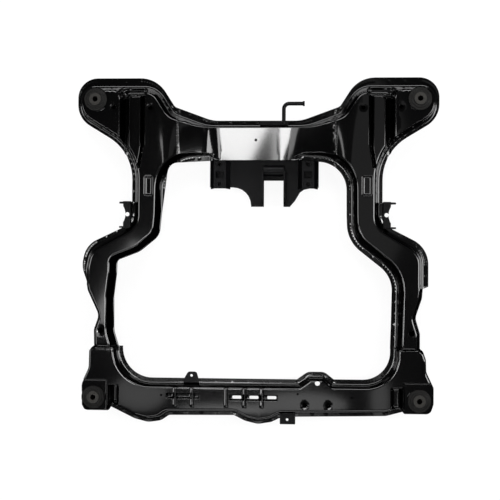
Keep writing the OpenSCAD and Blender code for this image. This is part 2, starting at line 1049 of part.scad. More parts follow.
left_side_upper();
right_side_upper();
rear_panel_upper();
left_side_lower();
right_side_lower();
rear_panel_lower();
left_waist_lower();
right_waist_lower();
left_rail_upper();
right_rail_upper();
left_rail_lower();
right_rail_lower();
front_cross_upper();
left_corner_upper();
right_corner_upper();
front_cross_lower();
left_corner_lower();
right_corner_lower();
at_rear(-1) collar(rear_land_z);  // rear_left_collar
at_rear(1) collar(rear_land_z);  // rear_right_collar
at_front(-1) collar(front_land_z);  // front_left_collar
at_front(1) collar(front_land_z);  // front_right_collar
at_rear(-1) bush_shell(rear_land_z);  // rear_left_shell
at_rear(1) bush_shell(rear_land_z);  // rear_right_shell
at_front(-1) bush_shell(front_land_z);  // front_left_shell
at_front(1) bush_shell(front_land_z);  // front_right_shell
at_rear(-1) bush_rubber(rear_land_z);  // rear_left_rubber
at_rear(1) bush_rubber(rear_land_z);  // rear_right_rubber
at_front(-1) bush_rubber(front_land_z);  // front_left_rubber
at_front(1) bush_rubber(front_land_z);  // front_right_rubber
at_rear(-1) sleeve(rear_land_z);  // rear_left_sleeve
at_rear(1) sleeve(rear_land_z);  // rear_right_sleeve
at_front(-1) sleeve(front_land_z);  // front_left_sleeve
at_front(1) sleeve(front_land_z);  // front_right_sleeve
left_arm_back();
right_arm_back();
left_arm_walls();
right_arm_walls();
roll_left_cheek();
roll_right_cheek();
roll_cross_tube();
roll_bridge();
left_steering_mount();
right_steering_mount();
steering_nuts();
hanger_plate();
hanger_rod();
rear_tab();
front_tab();
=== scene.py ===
"""Welded front subframe: pressed black steel, rubber body bushes, plan view on white."""

import json
import math

import bpy
import numpy as np
from mathutils import Matrix, Vector
from mathutils.geometry import delaunay_2d_cdt

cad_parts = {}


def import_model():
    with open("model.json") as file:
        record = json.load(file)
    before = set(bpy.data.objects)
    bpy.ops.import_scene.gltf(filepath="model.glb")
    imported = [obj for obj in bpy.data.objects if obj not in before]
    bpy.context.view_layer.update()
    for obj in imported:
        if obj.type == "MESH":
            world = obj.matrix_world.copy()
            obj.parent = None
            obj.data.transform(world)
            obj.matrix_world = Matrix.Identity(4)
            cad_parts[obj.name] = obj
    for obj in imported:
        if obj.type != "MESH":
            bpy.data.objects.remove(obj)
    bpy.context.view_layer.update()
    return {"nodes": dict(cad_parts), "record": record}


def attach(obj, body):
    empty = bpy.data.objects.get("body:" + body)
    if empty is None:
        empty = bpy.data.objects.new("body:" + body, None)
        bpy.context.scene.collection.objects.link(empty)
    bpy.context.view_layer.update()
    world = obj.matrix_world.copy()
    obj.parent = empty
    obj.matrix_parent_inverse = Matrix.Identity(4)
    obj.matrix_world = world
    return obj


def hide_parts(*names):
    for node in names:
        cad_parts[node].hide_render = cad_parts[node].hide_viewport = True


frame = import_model()

# Lengths below are in millimetres, as in the frame's drawing, and become metres in the meshes.
MM = 0.001
SHEET = 2.6
FLANGE_Z = 52.0
TOP_Z = 98.0
FRONT_TOP_Z = 93.0
REAR_LAND_Z = 86.0
FRONT_LAND_Z = 70.0
BOTTOM_Z = 18.0
SEAM_X = 203.0
RAIL_END_Y = -252.0
CORNER_LEFT_X = -386.0
CORNER_RIGHT_X = 382.0
REAR_BUSH = (418.0, 388.0)
FRONT_BUSH = (420.0, -384.0)
COLLAR_R = 31.5
COLLAR_FIT = 0.3
ARM_NOTCH_X = 327.0
ARM_NOTCH_Y = (57.0, 125.0)
FAR = 600.0

# Mesh density: step along arcs in degrees, and the longest edge along outlines and in flat areas
ARC_STEP = 6.0
EDGE_STEP = 7.0
FLAT_STEP = 11.0

# Share of an edge that a corner's arc may take, beside another arc and beside a sharp corner
SHARED_EDGE = 0.49
FREE_EDGE = 0.95

# Turn, as a sine, under which two edges count as one line, and the smallest corner radius
STRAIGHT = 0.05
MIN_R = 0.6


# Plane outlines

def left_of(v):
    return np.array([-v[1], v[0]])


def cross2(a, b):
    return a[0] * b[1] - a[1] * b[0]


class Outline:
    """Foot line of a pressing: corners, corner radii, and each edge's flange and draft."""

    def __init__(self, rows):
        self.p = np.array([r[:2] for r in rows], float)
        self.r = np.array([r[2] for r in rows], float)
        self.flange = np.array([r[3][0] for r in rows], float)
        self.draft = np.array([r[3][1] for r in rows], float)

    def directions(self):
        d = np.roll(self.p, -1, axis=0) - self.p
        return d / np.linalg.norm(d, axis=1)[:, None]

    def loop(self, inset, step=ARC_STEP):
        """The outline with each edge moved inwards and its corners rounded."""
        n = len(self.p)
        d = self.directions()
        corners = []
        radii = []
        for i in range(n):
            a, b = d[i - 1], d[i]
            turn = cross2(a, b)
            pa = self.p[i] + inset[i - 1] * left_of(a)
            pb = self.p[i] + inset[i] * left_of(b)
            corners.append(pb if abs(turn) < STRAIGHT else pa + a * cross2(pb - pa, b) / turn)
            mean = (inset[i] + inset[i - 1]) / 2
            radii.append(0 if self.r[i] == 0 else max(self.r[i] - np.sign(turn) * mean, MIN_R))
        points = []
        for i in range(n):
            points += rounded_corner(corners, radii, i, step)
        return np.array(points)

    def at(self, flange=0.0, draft=0.0, extra=0.0, step=ARC_STEP):
        return self.loop(flange * self.flange + draft * self.draft + extra, step)


def rounded_corner(corners, radii, i, step):
    """Points of an arc at a corner, from tangent point to tangent point."""
    n = len(corners)
    p = corners[i]
    back, ahead = corners[i - 1] - p, corners[(i + 1) % n] - p
    long_back, long_ahead = np.linalg.norm(back), np.linalg.norm(ahead)
    a, b = -back / long_back, ahead / long_ahead
    turn = math.atan2(cross2(a, b), a @ b)
    if radii[i] == 0 or abs(turn) < 0.01:
        return [p]
    room = min(long_back * (SHARED_EDGE if radii[i - 1] else FREE_EDGE),
               long_ahead * (SHARED_EDGE if radii[(i + 1) % n] else FREE_EDGE))
    half = math.tan(abs(turn) / 2)
    reach = min(radii[i] * half, room)
    r = reach / half
    s = math.copysign(1, turn)
    centre = p - a * reach + left_of(a) * r * s
    steps = max(2, math.ceil(abs(math.degrees(turn)) / step))
    angles = [turn * k / steps for k in range(steps + 1)]
    return [centre - s * r * (math.cos(t) * left_of(a) - math.sin(t) * a) for t in angles]


def mirrored(rows, last):
    """The same half outline on the other side, walked the other way round."""
    back = []
    for j in range(len(rows) - 1, -1, -1):
        x, y, r, _ = rows[j]
        back.append((-x, y, r, rows[j - 1][3] if j > 0 else last))
    return back


# Edges of the pressings: flange width and draft of the wall
BARE = (2.0, 8.0)
RAIL = (14.0, 9.0)
BULGE = (16.0, 9.0)
ARM = (10.0, 8.0)
REAR = (23.0, 18.0)
NECK = (12.0, 14.0)
WAIST = (12.0, 9.0)
CENTRE = (15.0, 6.0)
SHOULDER = (19.0, 14.0)
PANEL_CORNER = (14.0, 6.0)
CROSS = (13.5, 3.0)
PLATE = (1.5, 2.0)
FRONT_EDGE = (2.0, 2.0)
OPEN = (0.0, 0.0)


def rear_half(rail):
    """Half of the rear crossmember and arm, with a rail."""
    return [
        (88, 236, 12, PANEL_CORNER),
        (112, 247, 30, RAIL),
        (150, 245, 0, RAIL),
        (247, 240, 88, RAIL),
        *rail,
        (314, 64, 40, WAIST),
        (314, 260, 140, ARM),
        (461, 349, 55, ARM),
        (461, 426, 36, REAR),
        (263, 426, 60, NECK),
        (217, 354, 34, SHOULDER),
        (130, 322, 110, CENTRE),
    ]


RIGHT_RAIL = [
    (248, 92, 0, RAIL),
    (250, 32, 76, RAIL),
    (366, -60, 90, RAIL),
    (363, -190, 80, RAIL),
    (361, RAIL_END_Y, 0, OPEN),
    (421, RAIL_END_Y, 0, BARE),
    (421, -212, 22, BARE),
    (409, -172, 30, BARE),
    (426, -122, 25, BARE),
    (428, -98, 0, BARE),
    (428, -92, 0, BULGE),
    (428, -4, 55, BULGE),
]
LEFT_RAIL = [
    (249, 100, 0, BARE),
    (250, 92, 0, BARE),
    (255, 38, 40, BARE),
    (306, -4, 60, BARE),
    (366, -27, 14, BARE),
    (367, -62, 30, BARE),
    (374, -122, 60, BARE),
    (373, -212, 60, BARE),
    (361, RAIL_END_Y, 0, OPEN),
    (421, RAIL_END_Y, 0, BARE),
    (422, -210, 22, BARE),
    (409, -172, 30, BARE),
    (439, -108, 24, BARE),
    (442, -92, 0, BARE),
    (442, -84, 0, BULGE),
    (442, -46, 50, BULGE),
    (432, -1, 75, BULGE),
]
SIDE = Outline(rear_half(RIGHT_RAIL) + mirrored(rear_half(LEFT_RAIL), FRONT_EDGE))
FRONT = Outline([
    (-372, -398, 8, CROSS),
    (-310, -428, 30, CROSS),
    (-278, -436, 25, CROSS),
    (-250, -432, 20, CROSS),
    (-228, -417, 25, CROSS),
    (-52, -415, 25, CROSS),
    (-22, -430, 25, CROSS),
    (8, -437, 25, CROSS),
    (38, -432, 20, CROSS),
    (66, -418, 25, CROSS),
    (335, -412, 20, CROSS),
    (372, -402, 8, PLATE),
    (384, -418, 4, PLATE),
    (449, -418, 14, PLATE),
    (457, -394, 20, PLATE),
    (457, -352, 15, PLATE),
    (438, -312, 30, PLATE),
    (437, -280, 20, PLATE),
    (430, RAIL_END_Y - 8, 10, PLATE),
    (421, RAIL_END_Y, 0, OPEN),
    (361, RAIL_END_Y, 0, CROSS),
    (360, -347, 88, CROSS),
    (198, -347, 15, CROSS),
    (174, -328, 12, CROSS),
    (140, -328, 12, CROSS),
    (112, -348, 15, CROSS),
    (-360, -348, 92, CROSS),
    (-361, RAIL_END_Y, 0, OPEN),
    (-421, RAIL_END_Y, 0, PLATE),
    (-431, RAIL_END_Y - 8, 8, PLATE),
    (-432, -306, 30, PLATE),
    (-453, -352, 20, PLATE),
    (-452, -405, 15, PLATE),
    (-444, -419, 10, PLATE),
    (-384, -419, 4, PLATE),
])


# Distances and soft limits

def inside(points, loop):
    """Which points lie inside a closed loop."""
    x, y = points[:, 0][:, None], points[:, 1][:, None]
    a, b = loop, np.roll(loop, -1, axis=0)
    spans = (a[:, 1] > y) != (b[:, 1] > y)
    run = np.where(b[:, 1] == a[:, 1], 1e-9, b[:, 1] - a[:, 1])
    hit = x < (b[:, 0] - a[:, 0]) * (y - a[:, 1]) / run + a[:, 0]
    return (spans & hit).sum(axis=1) % 2 == 1


# Distances are worked out in batches of about this many pairs, and in square cells
BATCH = 400000
CELL = 70.0


def to_segments(points, a, b):
    """Distance of each point to the nearest of the segments a to b."""
    ab = b - a
    long2 = np.maximum((ab * ab).sum(axis=1), 1e-12)
    out = []
    for part in np.array_split(points, max(1, len(points) * len(a) // BATCH)):
        dx = part[:, 0][:, None] - a[:, 0]
        dy = part[:, 1][:, None] - a[:, 1]
        t = np.clip((dx * ab[:, 0] + dy * ab[:, 1]) / long2, 0, 1)
        dx -= t * ab[:, 0]
        dy -= t * ab[:, 1]
        out.append((dx * dx + dy * dy).min(axis=1))
    return np.sqrt(np.concatenate(out))


def signed(points, loop):
    """Distance to a closed loop, positive inside, worked out cell by cell with the near edges only."""
    if len(points) == 0:
        return np.zeros(0)
    a, b = loop, np.roll(loop, -1, axis=0)
    ab = b - a
    reach = CELL * math.sqrt(0.5)
    cells = np.floor(points / CELL).astype(int)
    _, group = np.unique(cells, axis=0, return_inverse=True)
    group = group.ravel()
    order = np.argsort(group, kind="stable")
    out = np.empty(len(points))
    for idx in np.split(order, np.flatnonzero(np.diff(group[order])) + 1):
        c = (cells[idx[0]] + 0.5) * CELL
        t = np.clip(((c - a) * ab).sum(axis=1) / np.maximum((ab * ab).sum(axis=1), 1e-12), 0, 1)
        far = np.linalg.norm(c - a - t[:, None] * ab, axis=1)
        near = far <= far.min() + 2 * reach
        d = to_segments(points[idx], a[near], b[near])
        mixed = far.min() <= reach
        out[idx] = np.where(inside(points[idx] if mixed else c[None], loop), d, -d)
    return out


def soft_floor(u, k):
    """max(u, 0) with a round corner of half width k."""
    k = np.maximum(k, 1e-6)
    return np.where(u < -k, 0, np.where(u > k, u, (u + k) ** 2 / (4 * k)))


def soft_min(a, b, k):
    h = np.clip(0.5 + 0.5 * (b - a) / k, 0, 1)
    return b + (a - b) * h - k * h * (1 - h)


def box_distance(points, low, high, r):
    """Distance to a round-cornered rectangle, negative inside."""
    c = (np.array(low) + np.array(high)) / 2
    half = (np.array(high) - np.array(low)) / 2 - r
    q = np.abs(points - c) - half
    return np.linalg.norm(np.maximum(q, 0), axis=1) + np.minimum(q.max(axis=1), 0) - r


def stroke_distance(points, strokes):
    """Distance to round-ended strokes, each given as from, to and half width, negative inside."""
    near = [to_segments(points, np.array([a], float), np.array([b], float)) - w for a, b, w in strokes]
    return np.min(near, axis=0)


# Recesses: rounding of the floor as a share of the wall, and how far the wall runs on above the tops
FLOOR_ROUND = 0.6
WALL_OVER = 8.0


def dug(z, q, depth_z, wall, r):
    """Surface z with a recess whose floor is depth_z and whose rim is where q is 0."""
    rise = TOP_Z - depth_z + WALL_OVER
    return soft_min(z, depth_z + soft_floor(q + wall, wall * FLOOR_ROUND) * rise / wall, r)


# Height of the outer face of each pressing

FOOT_R = 4.5
TOP_R = 5.5
WALL_LEAN = 1.15
TOP_INSET = 0.6
MIN_WALL = 2.0


def hat(points, outline, low, high):
    """Height of a plain hat section: flange, wall with draft and flat top, with round fillets."""
    foot = signed(points, outline.at())
    top = signed(points, outline.at(draft=WALL_LEAN, extra=TOP_INSET))
    wall = np.maximum(foot - top, MIN_WALL)
    s = np.where(top > 0, wall + top, foot)
    rise = abs(high - low)
    angle = np.arctan2(rise, wall)
    reach = np.tan(angle / 2)
    z = np.clip(s, 0, wall) * rise / wall
    near = s + FOOT_R * reach
    hollow = FOOT_R - np.sqrt(np.maximum(FOOT_R ** 2 - near ** 2, 0))
    z = np.where((near > 0) & (near < FOOT_R * np.sin(angle)), hollow, z)
    near = wall + TOP_R * reach - s
    crown = rise - TOP_R + np.sqrt(np.maximum(TOP_R ** 2 - near ** 2, 0))
    z = np.where((near > 0) & (near < TOP_R * np.sin(angle)), crown, z)
    return low + z * np.sign(high - low)


# Sloping panel: sides, front and rear, heights there, and the ramps up to the arms
PANEL_X = (-103.0, 84.0)
PANEL_Y = (236.0, 316.0)
PANEL_Z = (57.5, 72.0)
RAMP = (120.0, 140.0)
RAMP_ROUND = (0.1, 0.2)
PANEL_REACH = (270.0, 150.0)
PANEL_RIM = 7.0
CREASE_X = -129.0
CREASE_HALF = 6.0
CREASE_H = 0.6

# The panel runs out over the front flange from this line on, over this width, and not on the ramps
RUN_OUT_Y = 262.0
RUN_OUT = 16.0
RUN_OUT_FADE = 12.0
RUN_OUT_END_Y = 200.0

# Arms: the lower land round the bush, the grooves between the lands, and the pockets in the rails
ARM_Y = 230.0
BUSH_LAND_X = 356.0
LAND_SLOPE = 3.0
LAND_ROUND = 3.0
GROOVE_Z = FLANGE_Z + 3.5
GROOVE_WALL = 11.0
GROOVE_RIM = 15.0
GROOVE_BLEND = 14.0
ARM_GROOVES = (((343, 230), (343, 412), 14.5), ((343, 413), (298, 413), 20))
NARROW_Z = GROOVE_Z + 17
NARROW_WALL = 5.0
NARROW_RIM = 12.0
NARROW_GROOVE = [((293.5, 268), (293.5, 409), 6.5), ((293.5, 268), (302, 214), 5.5)]
POCKETS = (((-291, 135), (-263, 191)), ((268, 136), (299, 193)))
POCKET_R = 7.0
POCKET_DEPTH = 6.0
POCKET_WALL = 6.0
POCKET_RIM = 4.0

# Dents as x, y and radius
ARM_DENTS = ((371, 368, 12), (273, 364, 13), (398, -210, 15))
SIDE_DIMPLES = [(sx * x, y, r) for sx in (-1, 1) for x, y, r in ARM_DENTS]
SIDE_DIMPLE_DEPTH = 1.0
SIDE_WELD_DEPTH = 0.4

# Spot welds: place across the flange, flange needed on the outer side, and radius of the dent
WELD_LINE = -0.52
WELD_ROOM = 4.5
WELD_R = 4.7
SIDE_WELD_PITCH = 41.0
FRONT_WELD_PITCH = 43.0

# Weld beads along the seams of the panel
BEAD_H = 0.7
BEAD_HALF = 2.0
BEAD_REACH = 12.0


def dimples(points, z, spots, depth):
    """Surface z with a round dent at each spot, given as x, y and radius."""
    z = z.copy()
    order = np.argsort(points[:, 0])
    xs = points[order, 0]
    for x, y, r in spots:
        near = order[np.searchsorted(xs, x - r):np.searchsorted(xs, x + r)]
        d2 = ((points[near] - (x, y)) ** 2).sum(axis=1) / (r * r)
        z[near] -= depth * np.clip(1 - d2, 0, 1) ** 2
    return z


def bead(along, across):
    """Height of a rippled weld bead."""
    ripple = 0.7 + 0.35 * np.sin(along * 0.9) + 0.2 * np.sin(along * 2.3 + 1)
    return BEAD_H * np.exp(-(across / BEAD_HALF) ** 2) * ripple


def spot_welds(outline, pitch):
    """Places along the middle of the flanges that are wide enough for spot welds."""
    line = subdivided(outline.at(flange=WELD_LINE), pitch)
    wide = signed(line, outline.at()) < -WELD_ROOM
    return [(x, y, WELD_R) for (x, y), ok in zip(line, wide) if ok]


def side_shape(points, z):
    """Lands, grooves, pockets and the sloping panel pressed into the plain rear section."""
    x, y = points[:, 0], points[:, 1]
    folded = np.column_stack([np.abs(x), y])
    land = REAR_LAND_Z + soft_floor(BUSH_LAND_X - np.abs(x), LAND_ROUND) * LAND_SLOPE
    z = np.where(y > ARM_Y, soft_min(z, land, LAND_ROUND), z)
    leg, band = (stroke_distance(folded, [g]) for g in ARM_GROOVES)
    z = dug(z, soft_min(leg, band, GROOVE_BLEND), GROOVE_Z, GROOVE_WALL, GROOVE_RIM)
    z = dug(z, stroke_distance(folded, NARROW_GROOVE), NARROW_Z, NARROW_WALL, NARROW_RIM)
    for low, high in POCKETS:
        z = dug(z, box_distance(points, low, high, POCKET_R), TOP_Z - POCKET_DEPTH, POCKET_WALL, POCKET_RIM)
    slope = (PANEL_Z[1] - PANEL_Z[0]) / (PANEL_Y[1] - PANEL_Y[0])
    plane = PANEL_Z[0] + slope * (y - PANEL_Y[0])
    left_ramp = soft_floor((PANEL_X[0] - x) / RAMP[0], RAMP_ROUND[0])
    right_ramp = soft_floor((x - PANEL_X[1]) / RAMP[1], RAMP_ROUND[1])
    ramp = left_ramp + right_ramp
    crease = CREASE_H * np.exp(-((x - CREASE_X) / CREASE_HALF) ** 2)
    panel = plane + (TOP_Z - plane) * ramp + crease
    run_out = np.clip((RUN_OUT_Y - y) / RUN_OUT, 0, 1) * np.clip(2 - RUN_OUT_FADE * ramp, 0, 1)
    on_panel = (np.abs(x) < PANEL_REACH[0]) & (y > PANEL_REACH[1])
    z = np.where(on_panel, soft_min(z, panel, PANEL_RIM), z)
    z = np.where(y > RUN_OUT_END_Y, z + (np.maximum(panel, FLANGE_Z + SHEET) - z) * run_out, z)
    z = dimples(points, z, SIDE_DIMPLES, SIDE_DIMPLE_DEPTH)
    z = dimples(points, z, SIDE_WELDS, SIDE_WELD_DEPTH)
    seam = np.abs(x) - SEAM_X
    return z + np.where((np.abs(seam) < BEAD_REACH) & (y > PANEL_REACH[1]), bead(y, seam), 0)


def side_bends(points):
    return side_shape(points, np.full(len(points), TOP_Z))


def side_height(points):
    return side_shape(points, hat(points, SIDE, FLANGE_Z + SHEET, TOP_Z))


# Ribs: places, ends, and start and width of the gentle left face and of the steep right face
RIB_X = (-203.0, -158.0, -71.0, -24.0, 20.0)
RIB_Y = (-349.0, -405.0)
RIB_LEFT = (9.0, 8.0)
RIB_RIGHT = (4.0, 3.0)
RIB_ENDS = (4.0, 7.0)
RIB_ROUND = 0.15
RIB_H = 2.9

# Trays with the see-through slots, pockets beside the bush plates, and the step down to these plates
SLOT_X = (-46.0, -2.0, 44.0)
SLOT_Y = -378.0
SLOT_HALF = (11.5, 3.9)
FRONT_TRAYS = (((-230, -386), (-138, -364)), ((-68, -389), (62, -367)))
TRAY_R = 6.0
TRAY_DEPTH = 9.0
TRAY_WALL = 5.0
TRAY_RIM = 2.5
END_POCKETS = (((-381, -405), (-347, -346)), ((343, -413), (381, -346)))
END_POCKET_R = 8.0
END_POCKET_DEPTH = 8.0
END_POCKET_WALL = 9.0
END_POCKET_RIM = 4.0
STEP_Y = -340.0
STEP_WIDTH = 5.0
STEP_ROUND = 0.4
STEP_RISE = 26.0
STEP_RIM = 3.0
FRONT_DIMPLES = [(128, -396, 14), (188, -396, 14)]
FRONT_DIMPLE_DEPTH = 0.7
FRONT_WELD_DEPTH = 0.1


def rib_share(x, y):
    """How much of a rib's height there is at each point."""
    rib = np.zeros(len(x))
    along = np.clip((y - RIB_Y[1]) / RIB_ENDS[1], 0, 1)
    along_rear = np.clip((RIB_Y[0] - y) / RIB_ENDS[0], 0, 1)
    for rx in RIB_X:
        left = np.clip((x - rx + RIB_LEFT[0]) / RIB_LEFT[1], 0, 1)
        right = np.clip((rx + RIB_RIGHT[0] - x) / RIB_RIGHT[1], 0, 1)
        rib = np.maximum(rib, np.minimum(left, right) * along * along_rear)
    return (1 - RIB_ROUND) * rib + RIB_ROUND * rib * rib * (3 - 2 * rib)


def front_shape(points, z):
    """Ribs, trays and lowered corner plates pressed into the plain front section."""
    x, y = points[:, 0], points[:, 1]
    rib = rib_share(x, y)
    ribbed = z + RIB_H * rib
    for low, high in FRONT_TRAYS:
        z = dug(z, box_distance(points, low, high, TRAY_R), FRONT_TOP_Z - TRAY_DEPTH, TRAY_WALL, TRAY_RIM)
    z = z + (ribbed - z) * rib
    for low, high in END_POCKETS:
        q = box_distance(points, low, high, END_POCKET_R)
        z = dug(z, q, FRONT_LAND_Z - END_POCKET_DEPTH, END_POCKET_WALL, END_POCKET_RIM)
    corner = np.where(x < 0, CORNER_LEFT_X - x, x - CORNER_RIGHT_X)
    step = np.maximum(-corner, y - STEP_Y) / STEP_WIDTH
    z = soft_min(z, FRONT_LAND_Z + soft_floor(step, STEP_ROUND) * STEP_RISE, STEP_RIM)
    z = dimples(points, z, FRONT_DIMPLES, FRONT_DIMPLE_DEPTH)
    return dimples(points, z, FRONT_WELDS, FRONT_WELD_DEPTH)


def front_bends(points):
    return front_shape(points, np.full(len(points), TOP_Z))


def front_height(points):
    return front_shape(points, hat(points, FRONT, FLANGE_Z + SHEET, FRONT_TOP_Z))


def side_under(points):
    return hat(points, SIDE, FLANGE_Z - SHEET, BOTTOM_Z)


def front_under(points):
    return hat(points, FRONT, FLANGE_Z - SHEET, BOTTOM_Z)


def tab_height(points):
    return np.full(len(points), FLANGE_Z + 2 * SHEET)


# Sheet meshes

def subdivided(loop, step):
    """Closed loop with points added so that no edge is longer than step."""
    out = []
    for a, b in zip(loop, np.roll(loop, -1, axis=0)):
        n = max(1, math.ceil(np.linalg.norm(b - a) / step))
        out += [a + (b - a) * k / n for k in range(n)]
    return np.array(out)


SIDE_WELDS = spot_welds(SIDE, SIDE_WELD_PITCH)
FRONT_WELDS = spot_welds(FRONT, FRONT_WELD_PITCH)


def clip_x(loop, x, keep_above):
    """The part of a loop on one side of a line of constant x."""
    s = 1 if keep_above else -1
    out = []
    for a, b in zip(loop, np.roll(loop, -1, axis=0)):
        da, db = s * (a[0] - x), s * (b[0] - x)
        if da >= 0:
            out.append(a)
        if da * db < 0:
            out.append(a + (b - a) * da / (da - db))
    return np.array(out)


def notched(loop):
    """The loop without what reaches into the notches of the lower-arm brackets."""
    out = []
    for x, y in loop:
        if ARM_NOTCH_Y[0] <= y <= ARM_NOTCH_Y[1] and abs(x) > ARM_NOTCH_X:
            x = math.copysign(ARM_NOTCH_X, x)
        out.append((x, y))
    return np.array(out)


def circle(x, y, r, n=28):
    t = np.arange(n) * 2 * math.pi / n
    return np.column_stack([x + r * np.cos(t), y + r * np.sin(t)])


def slot_loop(x, y, half, r):
    signs = ((-1, -1), (1, -1), (1, 1), (-1, 1))
    return Outline([(x + sx * half[0], y + sy * half[1], r, OPEN) for sx, sy in signs]).at(step=15)


def grid(low, high, step):
    xs = np.arange(low[0], high[0] + step / 2, step)
    ys = np.arange(low[1], high[1] + step / 2, step)
    gx, gy = np.meshgrid(xs, ys)
    return np.column_stack([gx.ravel(), gy.ravel()])


# Points where a pressing bends: widest cell, number of halvings, and the bend that is left alone
COARSE = 12.0
HALVINGS = 4
BEND_TOL = 0.07


def bends(shape, low, high):
    """Points that are closer together where shape(x, y) bends."""
    corners = grid(low, np.array(high) - COARSE, COARSE)
    size = COARSE
    found = [grid(low, high, COARSE)]
    quarters = np.array([(0, 0), (1, 0), (0, 1), (1, 1)])
    around = np.array([(0, 0), (1, 0), (1, 1), (0, 1), (0.5, 0.5), (0.5, 0), (1, 0.5), (0.5, 1), (0, 0.5)])
    for _ in range(HALVINGS):
        q = corners[:, None, :] + around[None] * size
        z = shape(q.reshape(-1, 2)).reshape(len(corners), len(around))
        mid = [np.abs(z[:, 4] - z[:, :4].mean(axis=1))]
        mid += [np.abs(z[:, 5 + k] - (z[:, k] + z[:, (k + 1) % 4]) / 2) for k in range(4)]
        split = np.max(mid, axis=0) > BEND_TOL
        if not split.any():
            break
        found.append(q[split][:, 4:].reshape(-1, 2))
        size /= 2
        corners = (corners[split][:, None, :] + quarters[None] * size).reshape(-1, 2)
    return np.unique(np.round(np.vstack(found), 4), axis=0)


# Contours that carry the mesh round the fillets: share of the draft and distance beyond it
CONTOURS = ([(0, e) for e in (-4.2, -3.4, -2.4, -1.4, -0.6, 0.1, 0.6)] + [(0.5, 0.4)]
            + [(WALL_LEAN, TOP_INSET + e) for e in (-0.8, -0.2, 0.7, 1.8, 3.0, 4.1, 5.1)])

# Least distance of a contour's points and of the other points from rims and holes
CONTOUR_ROOM = 0.8
POINT_ROOM = 0.6


def sheet_object(name, outline, x_range, holes, shape, height, thickness):
    """A sheet over the part of an outline between two seams, with its outer face at height(x, y)."""
    rim = outline.at(flange=-1)
    for x, above in ((x_range[0], True), (x_range[1], False)):
        rim = clip_x(rim, x, above)
    rim = subdivided(notched(rim), EDGE_STEP)
    holes = [h for h in holes if inside(h[:1], rim)[0]]
    loops = [rim] + holes
    points = [rim] + holes
    edges = []
    start = 0
    for lp in loops:
        n = len(lp)
        edges += [(start + k, start + (k + 1) % n) for k in range(n)]
        start += n

    def free(q, margin):
        ok = signed(q, rim) > margin
        for h in holes:
            near = np.all((q > h.min(axis=0) - margin) & (q < h.max(axis=0) + margin), axis=1)
            ok[near] &= signed(q[near], h) < -margin
        return ok

    for share, extra in CONTOURS:
        lp = subdivided(outline.at(draft=share, extra=extra), EDGE_STEP)
        ok = free(lp, CONTOUR_ROOM)
        index = np.full(len(lp), -1)
        index[ok] = start + np.arange(ok.sum())
        points.append(lp[ok])
        start += int(ok.sum())
        for k in range(len(lp)):
            j = (k + 1) % len(lp)
            if ok[k] and ok[j]:
                edges.append((int(index[k]), int(index[j])))
    if shape:
        q = bends(shape, rim.min(axis=0), rim.max(axis=0) + FLAT_STEP)
    else:
        q = grid(rim.min(axis=0), rim.max(axis=0), FLAT_STEP)
    q = q[free(q, POINT_ROOM)]
    points.append(q)
    flat = np.vstack(points)
    verts, _, faces, *_ = delaunay_2d_cdt([Vector(p) for p in flat], edges, [], 0, 1e-4)
    verts = np.array([tuple(v) for v in verts])
    tris = np.array([f for f in faces if len(f) == 3])
    middle = verts[tris].mean(axis=1)
    keep = inside(middle, rim)
    for h in holes:
        near = np.all((middle > h.min(axis=0)) & (middle < h.max(axis=0)), axis=1)
        keep[near] &= ~inside(middle[near], h)
    return solid_sheet(name, verts, tris[keep], height, thickness)


def slopes(height, flat, h=0.3):
    """Unit normals of the surface z = height(x, y)."""
    dx = (height(flat + (h, 0)) - height(flat - (h, 0))) / (2 * h)
    dy = (height(flat + (0, h)) - height(flat - (0, h))) / (2 * h)
    n = np.column_stack([-dx, -dy, np.ones(len(flat))])
    return n / np.linalg.norm(n, axis=1)[:, None]


def solid_sheet(name, flat, tris, height, thickness):
    """Closed mesh of a sheet: its outer face, its inner face along the normals, and the rim."""
    used = np.unique(tris)
    index = np.full(len(flat), -1)
    index[used] = np.arange(len(used))
    tris = index[tris]
    flat = flat[used]
    face = np.column_stack([flat, height(flat)])
    a, b, c = face[tris[:, 0]], face[tris[:, 1]], face[tris[:, 2]]
    normal = np.cross(b - a, c - a)
    flip = normal[:, 2] < 0
    tris[flip] = tris[flip][:, ::-1]
    vn = slopes(height, flat)
    n = len(face)
    back = face - vn * thickness
    sides = dict.fromkeys((int(t[k]), int(t[(k + 1) % 3])) for t in tris for k in range(3))
    rim = [(i, j) for (i, j) in sides if (j, i) not in sides]
    up = thickness > 0
    faces = [tuple(t) if up else tuple(t[::-1]) for t in tris.tolist()]
    faces += [tuple(n + i for i in (t[::-1] if up else t)) for t in tris.tolist()]
    faces += [(j, i, n + i, n + j) if up else (i, j, n + j, n + i) for i, j in rim]
    mesh = bpy.data.meshes.new(name)
    mesh.from_pydata((np.vstack([face, back]) * MM).tolist(), [], faces)
    mesh.shade_smooth()
    outward = vn if up else -vn
    quads = np.array(faces[2 * len(tris):])
    p = np.vstack([face, back])
    edge_n = np.cross(p[quads[:, 1]] - p[quads[:, 0]], p[quads[:, 2]] - p[quads[:, 0]])
    edge_n /= np.maximum(np.linalg.norm(edge_n, axis=1), 1e-9)[:, None]
    corner_normals = np.vstack([
        outward[np.array(faces[:len(tris)]).ravel()],
        -outward[np.array(faces[len(tris):2 * len(tris)]).ravel() - n],
        np.repeat(edge_n, 4, axis=0)])
    mesh.normals_split_custom_set(corner_normals.tolist())
    obj = bpy.data.objects.new(name, mesh)
    bpy.context.scene.collection.objects.link(obj)
    return obj


# Materials

def principled(name, color, roughness, metallic=0.0):
    m = bpy.data.materials.new(name)
    m.use_nodes = True
    b = m.node_tree.nodes["Principled BSDF"]
    b.inputs["Base Color"].default_value = (*color, 1)
    b.inputs["Roughness"].default_value = roughness
    b.inputs["Metallic"].default_value = metallic
    return m, m.node_tree.nodes, m.node_tree.links, b


